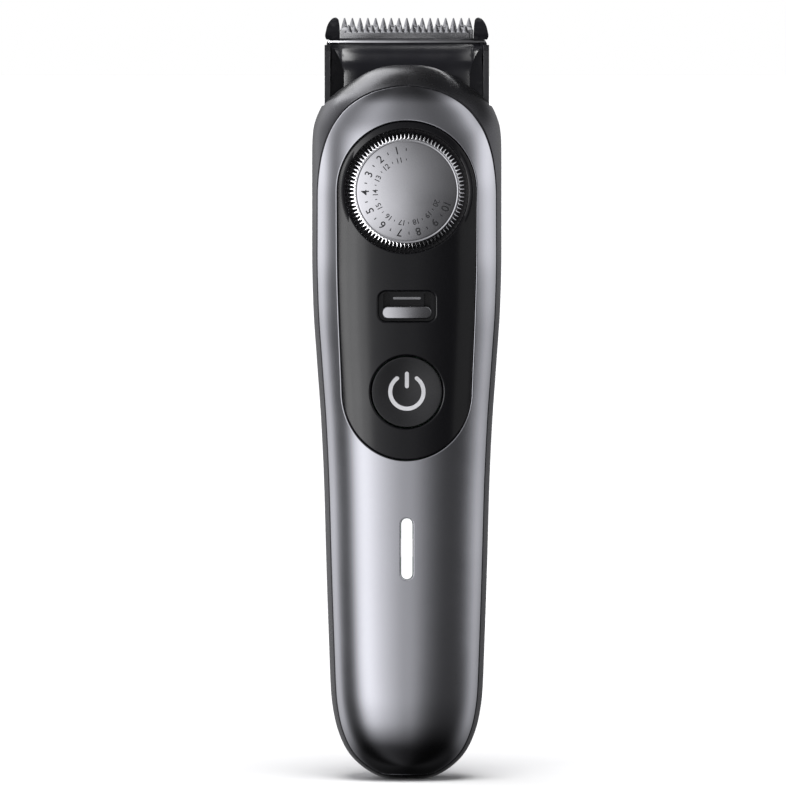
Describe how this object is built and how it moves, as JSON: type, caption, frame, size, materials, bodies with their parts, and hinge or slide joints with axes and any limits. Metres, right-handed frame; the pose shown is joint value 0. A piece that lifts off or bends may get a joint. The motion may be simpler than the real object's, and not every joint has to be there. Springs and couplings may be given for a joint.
{
  "type": "beard trimmer",
  "caption": "Cordless beard trimmer with a turning length dial that raises the comb arms, dial lock, power button, lift-off toothed blade head and rocking-lever motor drive.",
  "frame": {"origin": "middle of the flat bottom end, at the mouth of the charging socket, on the body's centre line", "axes": "+Z from the charging socket to the blade teeth, -Y is the front with the dial and power button, +X is the viewer's right when looking at the front"},
  "size_m": [0.0424, 0.0372, 0.17],
  "materials": {
    "shell_metallic": "satin",
    "frame_dark": "satin",
    "grip_rubber": "soft touch",
    "panel_gloss": "polished",
    "satin_metal": "satin, spun",
    "black_plastic": "fine satin",
    "blade_steel": "ground",
    "hidden_steel": "plain",
    "lens_light": "diffusing, lit from behind",
    "brass_contact": "plain",
    "white_acetal": "moulded",
    "chassis_plastic": "moulded",
    "seal_rubber": "plain",
    "lead_red": "plain",
    "board_green": "solder mask",
    "battery_wrap": "shrink wrap",
    "copper_winding": "enamelled"
  },
  "bodies": {
    "housing": {"front_fascia": "shell_metallic", "mid_frame": "frame_dark", "back_cover": "grip_rubber", "control_panel": "panel_gloss", "charging_socket": "black_plastic", "lock_guide": "black_plastic", "charge_chip": "black_plastic", "motor_can": "hidden_steel", "lever_pivot_pin": "hidden_steel", "detent_spring": "hidden_steel", "motor_screw_left": "hidden_steel", "motor_screw_right": "hidden_steel", "board_screw_left": "hidden_steel", "board_screw_right": "hidden_steel", "battery_tab_top": "hidden_steel", "battery_tab_bottom": "hidden_steel", "power_switch": "hidden_steel", "light_guide": "lens_light", "status_led": "lens_light", "charging_pin_left": "brass_contact", "charging_pin_right": "brass_contact", "dial_bearing": "brass_contact", "motor_bearing": "brass_contact", "motor_end_cap": "white_acetal", "chassis": "chassis_plastic", "socket_seal": "seal_rubber", "dial_seal": "seal_rubber", "charging_lead_black": "seal_rubber", "charging_lead_red": "lead_red", "circuit_board": "board_green", "battery_cell": "battery_wrap"},
    "rotor": {"motor_shaft": "hidden_steel", "motor_armature": "copper_winding", "eccentric_cam": "white_acetal"},
    "lever": {"drive_lever": "white_acetal"},
    "dial": {"dial_knob": "satin_metal", "dial_shaft": "hidden_steel", "detent_wheel": "white_acetal", "drive_pinion": "brass_contact"},
    "carriage": {"comb_carriage": "black_plastic", "carriage_rack": "white_acetal"},
    "lock": {"lock_slider": "satin_metal", "lock_pawl": "white_acetal"},
    "button": {"power_button": "panel_gloss"},
    "head": {"head_housing": "black_plastic", "fixed_blade": "blade_steel", "blade_spring": "blade_steel", "blade_screw_left": "blade_steel", "blade_screw_right": "blade_steel"},
    "cutter": {"cutter_blade": "blade_steel", "cutter_drive_block": "white_acetal"}
  },
  "joints": [
    {"name": "dial_turn", "type": "hinge", "parent": "housing", "child": "dial", "pos_m": [0, -0.0189, 0.1316], "axis": [0, 1, 0], "range_deg": [0, 247]},
    {"name": "carriage_lift", "type": "slide", "parent": "housing", "child": "carriage", "axis": [0, 0, 1], "range_m": [0, 0.0096]},
    {"name": "lock_slide", "type": "slide", "parent": "housing", "child": "lock", "axis": [0, 0, 1], "range_m": [0, 0.003]},
    {"name": "power_press", "type": "slide", "parent": "housing", "child": "button", "axis": [0, 1, 0], "range_m": [0, 0.0005], "stiffness_N_per_m": 1500},
    {"name": "motor_spin", "type": "hinge", "parent": "housing", "child": "rotor", "pos_m": [0, 0.0015, 0.0925], "axis": [0, 0, 1], "continuous": true},
    {"name": "lever_rock", "type": "hinge", "parent": "housing", "child": "lever", "pos_m": [0, 0.0032, 0.136], "axis": [0, 1, 0], "range_deg": [-2, 2]},
    {"name": "head_lift", "type": "slide", "parent": "housing", "child": "head", "axis": [0, 0, 1], "range_m": [0, 0.014]},
    {"name": "cutter_slide", "type": "slide", "parent": "head", "child": "cutter", "axis": [1, 0, 0], "range_m": [-0.00085, 0.00085]}
  ],
  "couplings": [
    {"joint": "carriage_lift", "follows": "dial_turn", "m_per_rad": 0.0022},
    {"joint": "cutter_slide", "follows": "lever_rock", "m_per_rad": 0.023}
  ]
}
